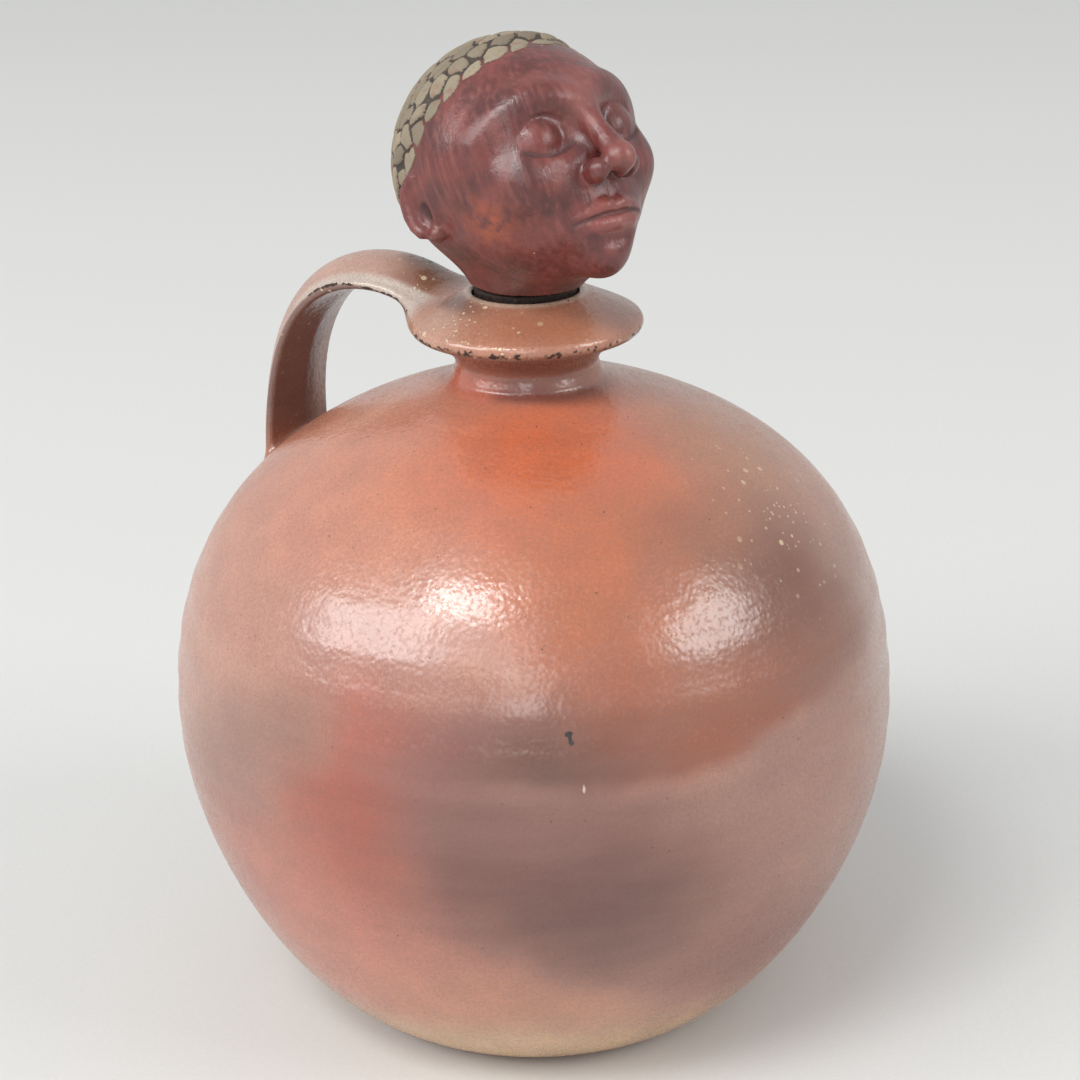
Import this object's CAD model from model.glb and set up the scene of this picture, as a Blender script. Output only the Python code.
"""Looks of a salt-glazed stoneware decanter with a head stopper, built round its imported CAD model.

Metres, in the CAD frame: +Z up, the handle at +Y, and the face over -Y, turned 17 degrees towards -X.
An azimuth turns from -Y towards +X.
"""

import math

import bpy
import numpy as np
from mathutils import Matrix, Vector


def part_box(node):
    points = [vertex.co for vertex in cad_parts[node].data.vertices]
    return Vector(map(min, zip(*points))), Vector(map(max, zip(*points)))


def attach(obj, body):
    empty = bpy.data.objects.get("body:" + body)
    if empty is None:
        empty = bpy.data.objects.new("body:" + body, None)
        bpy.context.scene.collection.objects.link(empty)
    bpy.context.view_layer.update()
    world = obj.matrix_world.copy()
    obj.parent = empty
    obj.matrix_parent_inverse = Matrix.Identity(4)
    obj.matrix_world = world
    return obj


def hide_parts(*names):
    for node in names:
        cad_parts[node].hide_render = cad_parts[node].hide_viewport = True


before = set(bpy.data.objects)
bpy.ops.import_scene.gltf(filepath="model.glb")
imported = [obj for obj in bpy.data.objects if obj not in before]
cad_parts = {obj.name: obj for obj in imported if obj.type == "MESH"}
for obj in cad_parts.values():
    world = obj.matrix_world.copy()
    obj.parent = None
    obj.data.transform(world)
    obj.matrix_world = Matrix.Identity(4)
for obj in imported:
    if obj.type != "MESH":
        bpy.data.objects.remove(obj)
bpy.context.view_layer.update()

# Camera of the photograph
CAMERA_AZIMUTH = math.radians(-57)
CAMERA_ELEVATION = math.radians(21.37)
CAMERA_DISTANCE = 0.700
CAMERA_TARGET = Vector((0.0, 0.0, 0.1335))
CAMERA_LENS = 84.0  # in millimetres, like the sensor's width
CAMERA_SENSOR = 36.0
CAMERA_ROLL = math.radians(-1.31)
CAMERA_SHIFT = 0.0081

# Studio light
LIGHT_DISTANCE = 4.0
WORLD_LIGHT = 0.53
WORLD_GLOSS = 0.72  # the pale room as the glaze mirrors it

# Name, azimuth from the camera's, elevation, roll, width, height and brightness of each soft box
LIGHTS = (
    ("left window", -63, 34, 24, 3.0, 1.5, 5.4),
    ("upper window", -34, 56, 0, 1.5, 0.8, 13.0),
    ("right window", 68, 31, 15, 2.0, 1.4, 5.3),
    ("front window", -4, 24, 0, 0.9, 1.5, 2.7),
    ("middle wall", -28, 38, 0, 2.4, 1.4, 1.3),
)

# Jug body
BODY_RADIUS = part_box("jug_body")[1].x
SEAM_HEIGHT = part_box("jug_body")[1].z
BELLY_HEIGHT = 0.090
FOOT_RADIUS = 0.050
FOOT_PULL = 0.018
FOOT_RISE = math.radians(9)
LOWER_PULL = 0.0427
UPPER_PULL = 0.0398
SHOULDER_PULL = 0.056
SHOULDER_SLOPE = math.radians(16)
SEAM_RADIUS = 0.030
OPENING_RADIUS = 0.0145
WALL = 0.006
FLOOR = 0.007
INSIDE_STRIDE = 4  # the inside has one point to so many of the outside
FINGER_PITCH = 0.0115  # throwing marks round the belly
FINGER_RISE = 0.00016
FINGER_HEIGHT = 0.108
FINGER_SPREAD = 0.030
RIB_PITCH = 0.0031  # finer throwing lines all over
RIB_RISE = 0.00003
MARKS_OVER_FOOT = (0.004, 0.016)  # heights over the foot between which these marks come in
MARKS_UNDER_SEAM = (0.005, 0.016)
SAG = 0.00035  # how far the thrown form is out of round
SAG_SIZE = 0.055

# Neck and flanged rim, with rises from its seam with the body
RIM_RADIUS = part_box("neck_rim")[1].x
LIP_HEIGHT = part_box("neck_rim")[1].z
NECK_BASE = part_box("neck_rim")[0].z
NECK_RADIUS = 0.019
WAIST_RISE = 0.0070
UNDER_FLANGE_RISE = 0.0162
UNDER_FLANGE_RADIUS = 0.0285
RIM_EDGE = 0.0046
RIM_EDGE_RISE = 0.0190
LIP_RADIUS = 0.0162
BORE_RADIUS = 0.0142
BORE_TAPER = math.radians(3)
SKIRT = 0.012  # how far the neck's clay runs out over the shoulder
TUCK = 0.004  # how far the shoulder runs in under the neck
BEAD_RISE = 0.0012  # soft ring round the foot of the neck
BEAD_HEIGHT = 0.0052
BEAD_SPREAD = 0.0028
NECK_BLEND = (0.0040, 0.0010)  # rises between which its colours pass into the shoulder's
CHIP_DEPTH = 0.00025
CHIP_SIZE = 0.0026
FLANGE_PULL_RADIUS = 0.028  # pulls of the curve over the flange, from its edge to the lip
FLANGE_PULL_RISE = 0.0012
LIP_PULL_OUT = 0.0040
LIP_PULL_DROP = 0.0022
LIP_ROUND = 0.0004
LIP_INSET = 0.0006
BORE_INSET = 0.0005
BORE_FALL = 0.0001
BORE_ROUND = 0.0009  # how far the lip is rounded down into the bore
BORE_COUNT = 8
WORN_EDGE = 0.0022  # width of the flange's worn edge

# Strap handle
STRAP_WIDTH = 0.0248
STRAP_EDGE = 0.0046
STRAP_CROWN = 0.0046
STRAP_ROUND = 0.0014  # radius of its thin edges
STRAP_RIDGE = 0.0016  # how far the inner face stands out along its middle
ROOT = (RIM_RADIUS - 0.0105, SEAM_HEIGHT + RIM_EDGE_RISE - 0.0008)
ROOT_PULL = (ROOT[0] + 0.0143, ROOT[1] + 0.0120)
HEEL = (BODY_RADIUS - 0.0205, SEAM_HEIGHT - 0.0430)
HEEL_PULL = (HEEL[0] + 0.0087, HEEL[1] + 0.0812)
ROOT_FLARE = 0.0045
HEEL_FLARE = 0.0020
FLARE_LENGTH = 0.14
ROOT_SMEAR = 0.0070  # reach of the clay that is smoothed from strap to rim
HEEL_SMEAR = 0.0040
SMEAR_SINK = 0.0002  # how far the smoothed clay starts below the pot's surface
STRAP_BITE = 0.0030  # how far the strap goes on inside the pot's wall
STRAP_COUNT = 160  # points along the strap's middle line
JOINED_RIM = 12  # points of the plainer outlines that the strap is joined to
JOINED_BODY = 24
STRAP_GRID = 0.00055
STRAP_LOW = (-0.0265, 0.0120, 0.1210)
STRAP_HIGH = (0.0265, 0.0960, 0.2200)

# Stopper
CORK_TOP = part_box("cork_sleeve")[1].z
CORK_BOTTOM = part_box("cork_sleeve")[0].z
CORK_HOLE = 0.0078
CORK_BEVEL = 0.0007
CORK_FIT = 0.0003
CORK_DENT = 0.00018
CORK_DENT_SIZE = 0.0020
CORK_COUNT = 40
CORK_STEPS = 160
STEM_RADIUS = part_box("stopper_stem")[1].x
STEM_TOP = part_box("stopper_stem")[1].z
STEM_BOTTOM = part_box("stopper_stem")[0].z
STEM_BEVEL = 0.0006
STEM_COUNT = 24
STEM_STEPS = 96
VENT_RADIUS = 0.0020

# Head, in its own frame: -Y ahead, +Z up along the head, tilted back about its centre on the jug's axis
HEAD_SEAT = CORK_TOP + 0.0003
HEAD_RISE = 0.0315
HEAD_CENTRE = Vector((0.0, 0.0, HEAD_SEAT + HEAD_RISE))
HEAD_TURN = math.radians(-17)  # from -Y, towards -X
HEAD_BACK = math.radians(-25)
HEAD_POSE = Matrix.Rotation(HEAD_TURN, 3, "Z") @ Matrix.Rotation(HEAD_BACK, 3, "X")
HEAD_TILT = np.array(HEAD_POSE, np.float32)
STUB_RADIUS = 0.0135
STUB_SOFT = 0.010
HEAD_GRID = 0.00055
HEAD_LOW = (-0.0410, -0.0470, -0.0400)
HEAD_HIGH = (0.0410, 0.0390, 0.0380)
HEAD_UNEVEN = 0.00014
HEAD_UNEVEN_SIZE = 0.0075
FACE_DEPTHS = (-0.0460, -0.0150)  # from ahead of the face to inside it
FACE_STEPS = 320

# Hair: rows of leaf-shaped scales round a pole at the back of the head
SKULL_RADIUS = 0.0330
SKULL_ROUNDS = 6  # steps towards the head's surface
HAIR_ELEVATION = math.radians(50)
HAIR_REACH = 0.0436
HAIR_RINGS = 160
HAIR_STEPS = 560
HAIR_BED = 0.0011  # thickness under and between the scales
HAIR_SINK = 0.0003  # how far the bed lies under the skin along the hairline
SCALE_RISE = 0.0008
SCALE_LENGTH = 0.0104  # round the pole
SCALE_WIDTH = 0.0049
SCALE_PITCH = 0.0076
SCALE_ROW = 0.0037
SCALE_JITTER = 0.0009
SCALE_LEAN = 0.30
SCALE_POINT = 0.60  # how far a scale narrows towards its ends
SCALE_SIZES = (0.86, 1.14)
SCALE_STRAY = 0.6  # share of the jitter that leads out of the row
SCALE_END = 1.12  # where a scale by itself ends, as a share of its half size
SCALE_BLOCKS = 16  # points are compared with all scales in so many lots
HAIRLINE = (0.0030, 0.0070)  # distances from the hair's edge between which the bed comes up

NOISE_CELLS = 64
BODY_COUNT = 100  # points along each half of the body's outline
RIM_COUNT = 36
TURN_STEPS = 320  # points round the body and rim
FLASH_FALL = 2.8  # how steeply a flash fades at its edge


def mm(*values):
    """Sizes or points given in millimetres, as an array in metres."""
    return np.array(values, np.float32) * np.float32(0.001)


def noise(points, size, seed):
    """Smooth random values from -1 to 1, with features of about the given size."""
    table = np.random.default_rng(seed).uniform(-1.0, 1.0, (NOISE_CELLS,) * 3)
    place = np.asarray(points, float) / size
    cell = np.floor(place).astype(int)
    share = place - cell
    share = share * share * (3.0 - 2.0 * share)
    total = np.zeros(len(place))
    for corner in np.ndindex(2, 2, 2):
        weight = np.where(np.array(corner, bool), share, 1.0 - share).prod(axis=1)
        spot = (cell + corner) % NOISE_CELLS
        total += weight * table[spot[:, 0], spot[:, 1], spot[:, 2]]
    return total


def smooth(value, low, high):
    """0 at low, 1 at high, and an even ease between them."""
    share = np.clip((value - low) / (high - low), 0.0, 1.0)
    return share * share * (3.0 - 2.0 * share)


def bell(value, spread):
    """1 at zero, easing off to both sides over about the spread."""
    return np.exp(-((value / spread) ** 2))


def reach_of(points):
    """How far points are from the jug's axis."""
    return np.hypot(points[:, 0], points[:, 1])


def azimuth_of(points):
    """Azimuths of points, in degrees."""
    return np.degrees(np.arctan2(points[:, 0], -points[:, 1]))


def swell(points, lift):
    """Moves points away from the jug's axis, in place."""
    points[:, :2] *= 1.0 + (lift / reach_of(points))[:, None]


def tinted(colours, *layers):
    """Colours with shades laid over them in turn, each by its mask."""
    for mask, shade in layers:
        colours = colours + mask[:, None] * (np.array(shade) - colours)
    return colours


def bezier(start, start_pull, end_pull, end, count):
    """Points of a cubic curve, both ends included."""
    share = np.linspace(0.0, 1.0, count)[:, None]
    rest = 1 - share
    weights = np.hstack((rest**3, 3 * share * rest**2, 3 * share**2 * rest, share**3))
    return weights @ np.array((start, start_pull, end_pull, end))


def arc_length(profile):
    steps = np.hypot(*np.diff(profile, axis=0).T)
    return np.concatenate(([0.0], np.cumsum(steps)))


def outward(profile):
    """Unit normals of a profile that runs upwards, away from the axis."""
    along = np.gradient(profile, axis=0)
    along /= np.hypot(*along.T)[:, None]
    return np.stack((along[:, 1], -along[:, 0]), axis=1)


def turned(profile, steps, closed):
    """Points and faces of a profile turned round Z. One that isn't closed starts and ends on the axis."""
    turn = math.tau * np.arange(steps) / steps
    points = np.empty((len(profile), steps, 3))
    points[..., 0] = profile[:, :1] * np.sin(turn)
    points[..., 1] = -profile[:, :1] * np.cos(turn)
    points[..., 2] = profile[:, 1:]
    index = np.arange(len(profile) * steps).reshape(len(profile), steps)
    if not closed:
        index[0] = index[0, 0]
        index[-1] = index[-1, 0]
    below = index if closed else index[:-1]
    above = np.roll(index, -1, axis=0) if closed else index[1:]
    quads = np.stack((below, np.roll(below, -1, 1), np.roll(above, -1, 1), above), axis=-1).reshape(-1, 4)
    return points.reshape(-1, 3), [tuple(dict.fromkeys(quad)) for quad in quads.tolist()]


def add_object(name, data):
    made = bpy.data.objects.new(name, data)
    bpy.context.scene.collection.objects.link(made)
    return made


def add_piece(name, points, faces, finish, body, slot, nodes, **marks):
    """A smooth mesh that rides on a body and stands for CAD nodes, with numbers or colours at its points."""
    used = np.unique(np.concatenate([np.array(face) for face in faces]))
    renumber = np.zeros(len(points), int)
    renumber[used] = np.arange(len(used))
    mesh = bpy.data.meshes.new(name)
    mesh.from_pydata(points[used].tolist(), [], [renumber[list(face)].tolist() for face in faces])
    mesh.shade_smooth()
    for mark, values in marks.items():
        if values.ndim == 2:
            layer = mesh.attributes.new(mark, "FLOAT_COLOR", "POINT")
            opaque = np.column_stack((values[used], np.ones(len(used))))
            layer.data.foreach_set("color", opaque.ravel().astype(np.float32))
        else:
            layer = mesh.attributes.new(mark, "FLOAT", "POINT")
            layer.data.foreach_set("value", values[used].astype(np.float32))
    mesh.materials.append(finish)
    made = add_object(name, mesh)
    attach(made, body)
    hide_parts(*nodes)


# Fields: negative inside, with smooth joins and cuts


def length(vectors):
    return np.sqrt(np.einsum("ij,ij->i", vectors, vectors))


def ball(points, centre, radius):
    return length(points - centre) - radius


def oval(points, centre, radii):
    scaled = (points - centre) / radii
    near = length(scaled)
    return near * (near - 1.0) / np.maximum(length(scaled / radii), 1e-6)


def rod(points, start, end, start_radius, end_radius):
    axis = end - start
    share = np.clip((points - start) @ axis / (axis @ axis), 0.0, 1.0)
    away = length(points - start - share[:, None] * axis)
    return away - (start_radius + share * (end_radius - start_radius))


def roll(points, beads):
    """A roll of clay through beads of (x, y, z, radius)."""
    pairs = zip(beads, beads[1:])
    return np.minimum.reduce([rod(points, one[:3], two[:3], one[3], two[3]) for one, two in pairs])


def join(one, two, soft):
    near = np.maximum(soft - np.abs(one - two), 0.0)
    return np.minimum(one, two) - near * near / (4.0 * soft)


def carve(form, tool, soft):
    return -join(-form, tool, soft)


def grid_points(low, high, step):
    """The shape of a grid of points between two corners, and its points."""
    axes = [np.arange(start, stop, step, dtype=np.float32) for start, stop in zip(low, high)]
    grids = np.meshgrid(*axes, indexing="ij")
    return grids[0].shape, np.stack([grid.ravel() for grid in grids], axis=1)


def skin_of(field, low, step):
    """Points and quads on the zero level of a field on a grid, a point to each cell that it passes."""
    inside = field < 0.0
    shape = np.array(field.shape) - 1
    corners = np.array(list(np.ndindex(2, 2, 2)))
    windows = [tuple(slice(first, first + size) for first, size in zip(corner, shape)) for corner in corners]
    count = sum(inside[window].astype(np.int8) for window in windows)
    cells = np.argwhere((count > 0) & (count < 8))
    index = np.full(shape, -1)
    index[tuple(cells.T)] = np.arange(len(cells))
    values = np.stack([field[tuple((cells + corner).T)] for corner in corners], axis=1)
    total = np.zeros((len(cells), 3))
    number = np.zeros(len(cells))
    for first, last in np.ndindex(8, 8):
        if first < last and np.abs(corners[last] - corners[first]).sum() == 1:
            hit = (values[:, first] < 0.0) != (values[:, last] < 0.0)
            share = values[hit, first] / (values[hit, first] - values[hit, last])
            total[hit] += corners[first] + share[:, None] * (corners[last] - corners[first])
            number[hit] += 1
    points = np.array(low) + step * (cells + total / number[:, None])
    faces = []
    for axis in range(3):
        one = np.eye(3, dtype=int)[(axis + 1) % 3]
        two = np.eye(3, dtype=int)[(axis + 2) % 3]
        change = np.diff(inside.astype(np.int8), axis=axis)
        edges = np.argwhere(change)
        ring = [index[tuple((edges - shift).T)] for shift in (0 * one, one, one + two, two)]
        quads = np.stack(ring, axis=1)
        entering = change[tuple(edges.T)] > 0
        quads[entering] = quads[entering][:, ::-1]
        faces += quads.tolist()
    return points, faces


# Node materials


class Finish:
    """A node material in the making. Patterns follow the part's own coordinates, in metres."""

    def __init__(self, name):
        self.material = bpy.data.materials.new(name)
        self.material.use_nodes = True
        self.tree = self.material.node_tree
        self.shader = self.tree.nodes["Principled BSDF"]
        self.place = self.add("ShaderNodeTexCoord").outputs["Object"]

    def add(self, kind, inputs=None, **settings):
        made = self.tree.nodes.new(kind)
        for name, value in settings.items():
            setattr(made, name, value)
        for name, value in (inputs or {}).items():
            self.feed(made.inputs[name], value)
        return made

    def feed(self, socket, value):
        if isinstance(value, bpy.types.NodeSocket):
            self.tree.links.new(value, socket)
        elif socket.type == "RGBA":
            socket.default_value = (*value, 1.0)
        else:
            socket.default_value = value

    def mark(self, name, output="Fac"):
        return self.add("ShaderNodeAttribute", attribute_name=name).outputs[output]

    def stretched(self, scale, rotation=(0.0, 0.0, 0.0)):
        """The part's coordinates turned and then scaled, for patterns that are longer one way."""
        turned_place = self.add("ShaderNodeMapping", {"Vector": self.place, "Rotation": rotation})
        return self.add("ShaderNodeMapping", {"Vector": turned_place.outputs[0], "Scale": scale}).outputs[0]

    def noise(self, size, detail=2.0, place=None):
        inputs = {"Vector": place or self.place, "Scale": 1.0 / size, "Detail": detail}
        return self.add("ShaderNodeTexNoise", inputs).outputs[0]

    def cells(self, size, feature="F1", place=None):
        inputs = {"Vector": place or self.place, "Scale": 1.0 / size}
        return self.add("ShaderNodeTexVoronoi", inputs, feature=feature)

    def math(self, operation, one, two=0.0):
        made = self.add("ShaderNodeMath", operation=operation)
        self.feed(made.inputs[0], one)
        self.feed(made.inputs[1], two)
        return made.outputs[0]

    def ramp(self, value, low, high, bottom=0.0, top=1.0):
        inputs = {"Value": value, "From Min": low, "From Max": high, "To Min": bottom, "To Max": top}
        return self.add("ShaderNodeMapRange", inputs, interpolation_type="SMOOTHSTEP").outputs[0]

    def layered(self, colour, *layers):
        """A colour with shades laid over it in turn, each by its share."""
        for share, shade in layers:
            made = self.add("ShaderNodeMix", data_type="RGBA")
            self.feed(made.inputs[0], share)
            self.feed(made.inputs[6], colour)
            self.feed(made.inputs[7], shade)
            colour = made.outputs[2]
        return colour

    def specks(self, size, reach, chance):
        """Dots in a share of the cells of a size, reach being their radius as a share of the cell."""
        cells = self.cells(size)
        dot = self.ramp(cells.outputs["Distance"], reach, reach * 0.6)
        pick = self.add("ShaderNodeSeparateColor", {"Color": cells.outputs["Color"]}).outputs[0]
        return self.math("MULTIPLY", dot, self.math("LESS_THAN", pick, chance))

    def spot(self, centre, half_width, half_height):
        """1 inside a small upright oval with an uneven edge, 0 outside."""
        away = self.add("ShaderNodeVectorMath", {0: self.place, 1: centre}, operation="SUBTRACT").outputs[0]
        shares = (1.0 / half_width, 1.0 / half_width, 1.0 / half_height)
        scaled = self.add("ShaderNodeVectorMath", {0: away, 1: shares}, operation="MULTIPLY").outputs[0]
        reach = self.add("ShaderNodeVectorMath", {0: scaled}, operation="LENGTH").outputs["Value"]
        return self.ramp(self.math("ADD", reach, self.noise(0.0009, 2.0)), 1.65, 1.25)

    def bump(self, height, depth, under=None):
        inputs = {"Height": height, "Distance": depth, "Strength": 1.0}
        if under:
            inputs["Normal"] = under
        return self.add("ShaderNodeBump", inputs).outputs[0]

    def set(self, **inputs):
        for name, value in inputs.items():
            self.feed(self.shader.inputs[name.replace("_", " ").title().replace("Ior", "IOR")], value)
        return self.material


def salt_glaze(name, scars=()):
    """Flashed salt glaze: orange-peel grain, iron specks, and pale specks and crust where marked."""
    finish = Finish(name)
    bands = finish.noise(0.0045, 3.0, finish.stretched((0.12, 0.12, 1.0)))
    dots = finish.math("MAXIMUM", finish.specks(0.0034, 0.17, 0.50), finish.specks(0.0058, 0.17, 0.40))
    crowded = finish.ramp(finish.mark("pale"), 0.7, 1.0)
    dense = finish.math("MULTIPLY", finish.specks(0.0018, 0.25, 0.60), crowded)
    pale = finish.math("MAXIMUM", finish.math("MULTIPLY", dots, finish.mark("pale")), dense)
    crust = finish.ramp(finish.math("ADD", finish.mark("crust"), finish.noise(0.0016, 4.0)), 0.98, 1.10)
    colour = finish.layered(
        finish.mark("flash", "Color"),
        (finish.ramp(finish.noise(0.013, 3.0), 0.35, 0.65, 0.17, 0.0), (0.20, 0.10, 0.085)),
        (finish.ramp(bands, 0.30, 0.70, 0.0, 0.04), (0.62, 0.36, 0.27)),
        (finish.ramp(finish.noise(0.0007, 2.0), 0.32, 0.68, 0.28, 0.0), (0.17, 0.085, 0.07)),
        (finish.specks(0.0052, 0.058, 0.55), (0.07, 0.036, 0.028)),
        (finish.specks(0.0019, 0.12, 0.24), (0.15, 0.075, 0.058)),
        (pale, (0.62, 0.47, 0.31)),
        (crust, (0.050, 0.034, 0.027)),
        *((finish.spot(*place), shade) for *place, shade in scars),
    )
    roughness = finish.ramp(finish.noise(0.009, 3.0), 0.3, 0.7, 0.18, 0.26)
    dull_patches = finish.ramp(finish.noise(0.0012, 2.0), 0.50, 0.68, 0.0, 0.18)
    peel = finish.bump(finish.noise(0.0030, 2.0), 0.00013)
    pits = finish.bump(finish.cells(0.0013, "SMOOTH_F1").outputs["Distance"], 0.00008, peel)
    return finish.set(
        base_color=colour,
        roughness=finish.math("ADD", roughness, dull_patches),
        normal=finish.bump(pale, 0.00015, pits),
        ior=1.58,
        specular_ior_level=finish.ramp(crust, 0.0, 1.0, 0.70, 0.12),
    )


def dark_cork():
    finish = Finish("dark cork")
    colour = finish.layered(
        (0.008, 0.005, 0.004),
        (finish.ramp(finish.cells(0.0018).outputs["Distance"], 0.1, 0.5), (0.028, 0.016, 0.012)),
        (finish.specks(0.0012, 0.25, 0.25), (0.10, 0.060, 0.040)),
    )
    normal = finish.bump(finish.noise(0.0009, 3.0), 0.00030)
    return finish.set(base_color=colour, roughness=0.6, specular_ior_level=0.25, normal=normal)


def bare_clay():
    finish = Finish("bare clay")
    colour = finish.layered(
        (0.22, 0.12, 0.085),
        (finish.ramp(finish.noise(0.006, 4.0), 0.3, 0.7), (0.34, 0.21, 0.15)),
        (finish.specks(0.0014, 0.14, 0.3), (0.07, 0.04, 0.03)),
    )
    normal = finish.bump(finish.noise(0.0006, 3.0), 0.00012)
    return finish.set(base_color=colour, roughness=0.8, normal=normal)


def skin_slip():
    """Burnished red-brown slip with brush marks, darker in the creases and warmer on the cheeks."""
    finish = Finish("red-brown slip")
    along_head = finish.stretched((1.0, 1.0, 0.09), HEAD_POSE.transposed().to_euler())
    strokes = finish.noise(0.0015, 3.0, along_head)
    warm = finish.math("MULTIPLY", finish.mark("warm"), finish.ramp(finish.noise(0.0035, 4.0), 0.35, 0.6))
    colour = finish.layered(
        (0.080, 0.018, 0.0165),
        (finish.ramp(finish.noise(0.008, 4.0), 0.3, 0.7), (0.172, 0.037, 0.031)),
        (finish.ramp(strokes, 0.45, 0.75, 0.0, 0.35), (0.29, 0.088, 0.070)),
        (finish.ramp(strokes, 0.50, 0.25, 0.0, 0.32), (0.060, 0.018, 0.018)),
        (warm, (0.32, 0.068, 0.026)),
        (finish.mark("lip"), (0.23, 0.060, 0.050)),
        (finish.mark("rub"), (0.30, 0.105, 0.085)),
        (finish.mark("crease"), (0.035, 0.013, 0.013)),
        (finish.specks(0.0030, 0.10, 0.05), (0.50, 0.26, 0.20)),
    )
    roughness = finish.ramp(strokes, 0.3, 0.7, 0.27, 0.42)
    roughness = finish.math("ADD", roughness, finish.math("MULTIPLY", finish.mark("crease"), 0.4))
    normal = finish.bump(finish.noise(0.0020, 3.0), 0.00018, finish.bump(strokes, 0.00012))
    return finish.set(base_color=colour, roughness=roughness, specular_ior_level=0.66, normal=normal)


def hair_slip():
    """Pale grey-green slip on the scales, worn in patches, with dark lines between them."""
    finish = Finish("grey-green slip")
    uneven = finish.ramp(finish.noise(0.0009, 3.0), 0.3, 0.7, -0.2, 0.2)
    line = finish.ramp(finish.math("ADD", finish.mark("groove"), uneven), 0.25, 0.70)
    colour = finish.layered(
        (0.19, 0.155, 0.108),
        (finish.mark("tint"), (0.32, 0.268, 0.188)),
        (finish.ramp(finish.noise(0.0026, 4.0), 0.50, 0.72, 0.0, 0.6), (0.23, 0.12, 0.085)),
        (finish.mark("gap"), (0.150, 0.112, 0.086)),
        (line, (0.052, 0.038, 0.031)),
    )
    normal = finish.bump(finish.noise(0.0008, 3.0), 0.00018)
    return finish.set(base_color=colour, roughness=0.68, normal=normal)


# Jug


def body_outline(count):
    """The jug's outer line, from the foot's edge up to the seam."""
    belly = (BODY_RADIUS, BELLY_HEIGHT)
    seam = (SEAM_RADIUS, SEAM_HEIGHT)
    foot_pull = (FOOT_RADIUS + FOOT_PULL * math.cos(FOOT_RISE), FOOT_PULL * math.sin(FOOT_RISE))
    shoulder_pull = (
        SEAM_RADIUS + SHOULDER_PULL * math.cos(SHOULDER_SLOPE),
        SEAM_HEIGHT - SHOULDER_PULL * math.sin(SHOULDER_SLOPE),
    )
    lower = bezier((FOOT_RADIUS, 0.0), foot_pull, (BODY_RADIUS, BELLY_HEIGHT - LOWER_PULL), belly, count)
    upper = bezier(belly, (BODY_RADIUS, BELLY_HEIGHT + UPPER_PULL), shoulder_pull, seam, count)
    return np.vstack((lower, upper[1:]))


def rim_outline(count):
    """The neck's outer line, from the shoulder up over the flange to the lip, with the soft ring."""
    seam = (SEAM_RADIUS, NECK_BASE)
    waist = (NECK_RADIUS, NECK_BASE + WAIST_RISE)
    under = (UNDER_FLANGE_RADIUS, SEAM_HEIGHT + UNDER_FLANGE_RISE)
    pull = SEAM_RADIUS - NECK_RADIUS
    root_pull = (SEAM_RADIUS - pull * math.cos(SHOULDER_SLOPE), NECK_BASE + pull * math.sin(SHOULDER_SLOPE))
    root = bezier(seam, root_pull, (NECK_RADIUS, waist[1] - WAIST_RISE / 2), waist, count)
    flare_pull = ((NECK_RADIUS + UNDER_FLANGE_RADIUS) / 2, under[1] - RIM_EDGE / 2)
    flare = bezier(waist, (NECK_RADIUS, (waist[1] + under[1]) / 2), flare_pull, under, count)
    angle = np.radians(np.linspace(-70, 70, count // 2))
    edge_reach = RIM_RADIUS - RIM_EDGE / 2 + RIM_EDGE / 2 * np.cos(angle)
    edge = np.column_stack((edge_reach, SEAM_HEIGHT + RIM_EDGE_RISE + RIM_EDGE / 2 * np.sin(angle)))
    flange_pull = (FLANGE_PULL_RADIUS, edge[-1][1] + FLANGE_PULL_RISE)
    lip_pull = (LIP_RADIUS + LIP_PULL_OUT, LIP_HEIGHT - LIP_PULL_DROP)
    top = bezier(edge[-1], flange_pull, lip_pull, (LIP_RADIUS, LIP_HEIGHT - LIP_ROUND), count)
    body = body_outline(BODY_COUNT)
    skirt = body[(body[:, 0] < SEAM_RADIUS + SKIRT) & (body[:, 1] > BELLY_HEIGHT)]
    ease = smooth(np.arange(len(skirt)), 0, len(skirt) - 1)
    rise = ease * (NECK_BASE - SEAM_HEIGHT + SMEAR_SINK) - SMEAR_SINK
    skirt = skirt + outward(skirt) * rise[:, None]
    line = np.vstack((skirt[:-1], root, flare[1:], edge, top[1:]))
    ring = bell(line[:, 1] - SEAM_HEIGHT - BEAD_HEIGHT, BEAD_SPREAD) * (line[:, 0] < UNDER_FLANGE_RADIUS)
    return line + outward(line) * (BEAD_RISE * ring)[:, None]


def flashed(points, outline, base, flashes):
    """Colours that the kiln's flashes leave: soft patches at an azimuth and height, one over another."""
    azimuth = azimuth_of(points)
    radius = reach_of(points)
    outline_arc = arc_length(outline)
    arc = np.interp(points[:, 2], outline[:, 1], outline_arc)
    sideways = 0.006 * noise(points, 0.030, 11) + 0.0035 * noise(points, 0.009, 12)
    upwards = 0.005 * noise(points, 0.034, 13) + 0.0020 * noise(points, 0.010, 14)
    upwards += 0.0012 * noise(points, 0.0045, 16)
    colour = np.tile(np.array(base), (len(points), 1))
    for degrees, height, half_width, half_height, shade, strength in flashes:
        spot = np.argmin(np.abs(outline[:, 1] - height))
        turn = np.radians(azimuth - degrees) / 2
        across = 2.0 * np.sqrt(radius * outline[spot, 0]) * np.sin(turn) + sideways
        along = arc - outline_arc[spot] + upwards
        away = np.hypot(across / half_width, along / half_height)
        colour = tinted(colour, (strength * np.exp(-(away**FLASH_FALL)), shade))
    return colour


BODY_BASE = (0.50, 0.245, 0.172)  # the glaze's colour away from its flashes
RIM_BASE = (0.45, 0.19, 0.112)
HANDLE_BASE = (0.49, 0.295, 0.228)

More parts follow.
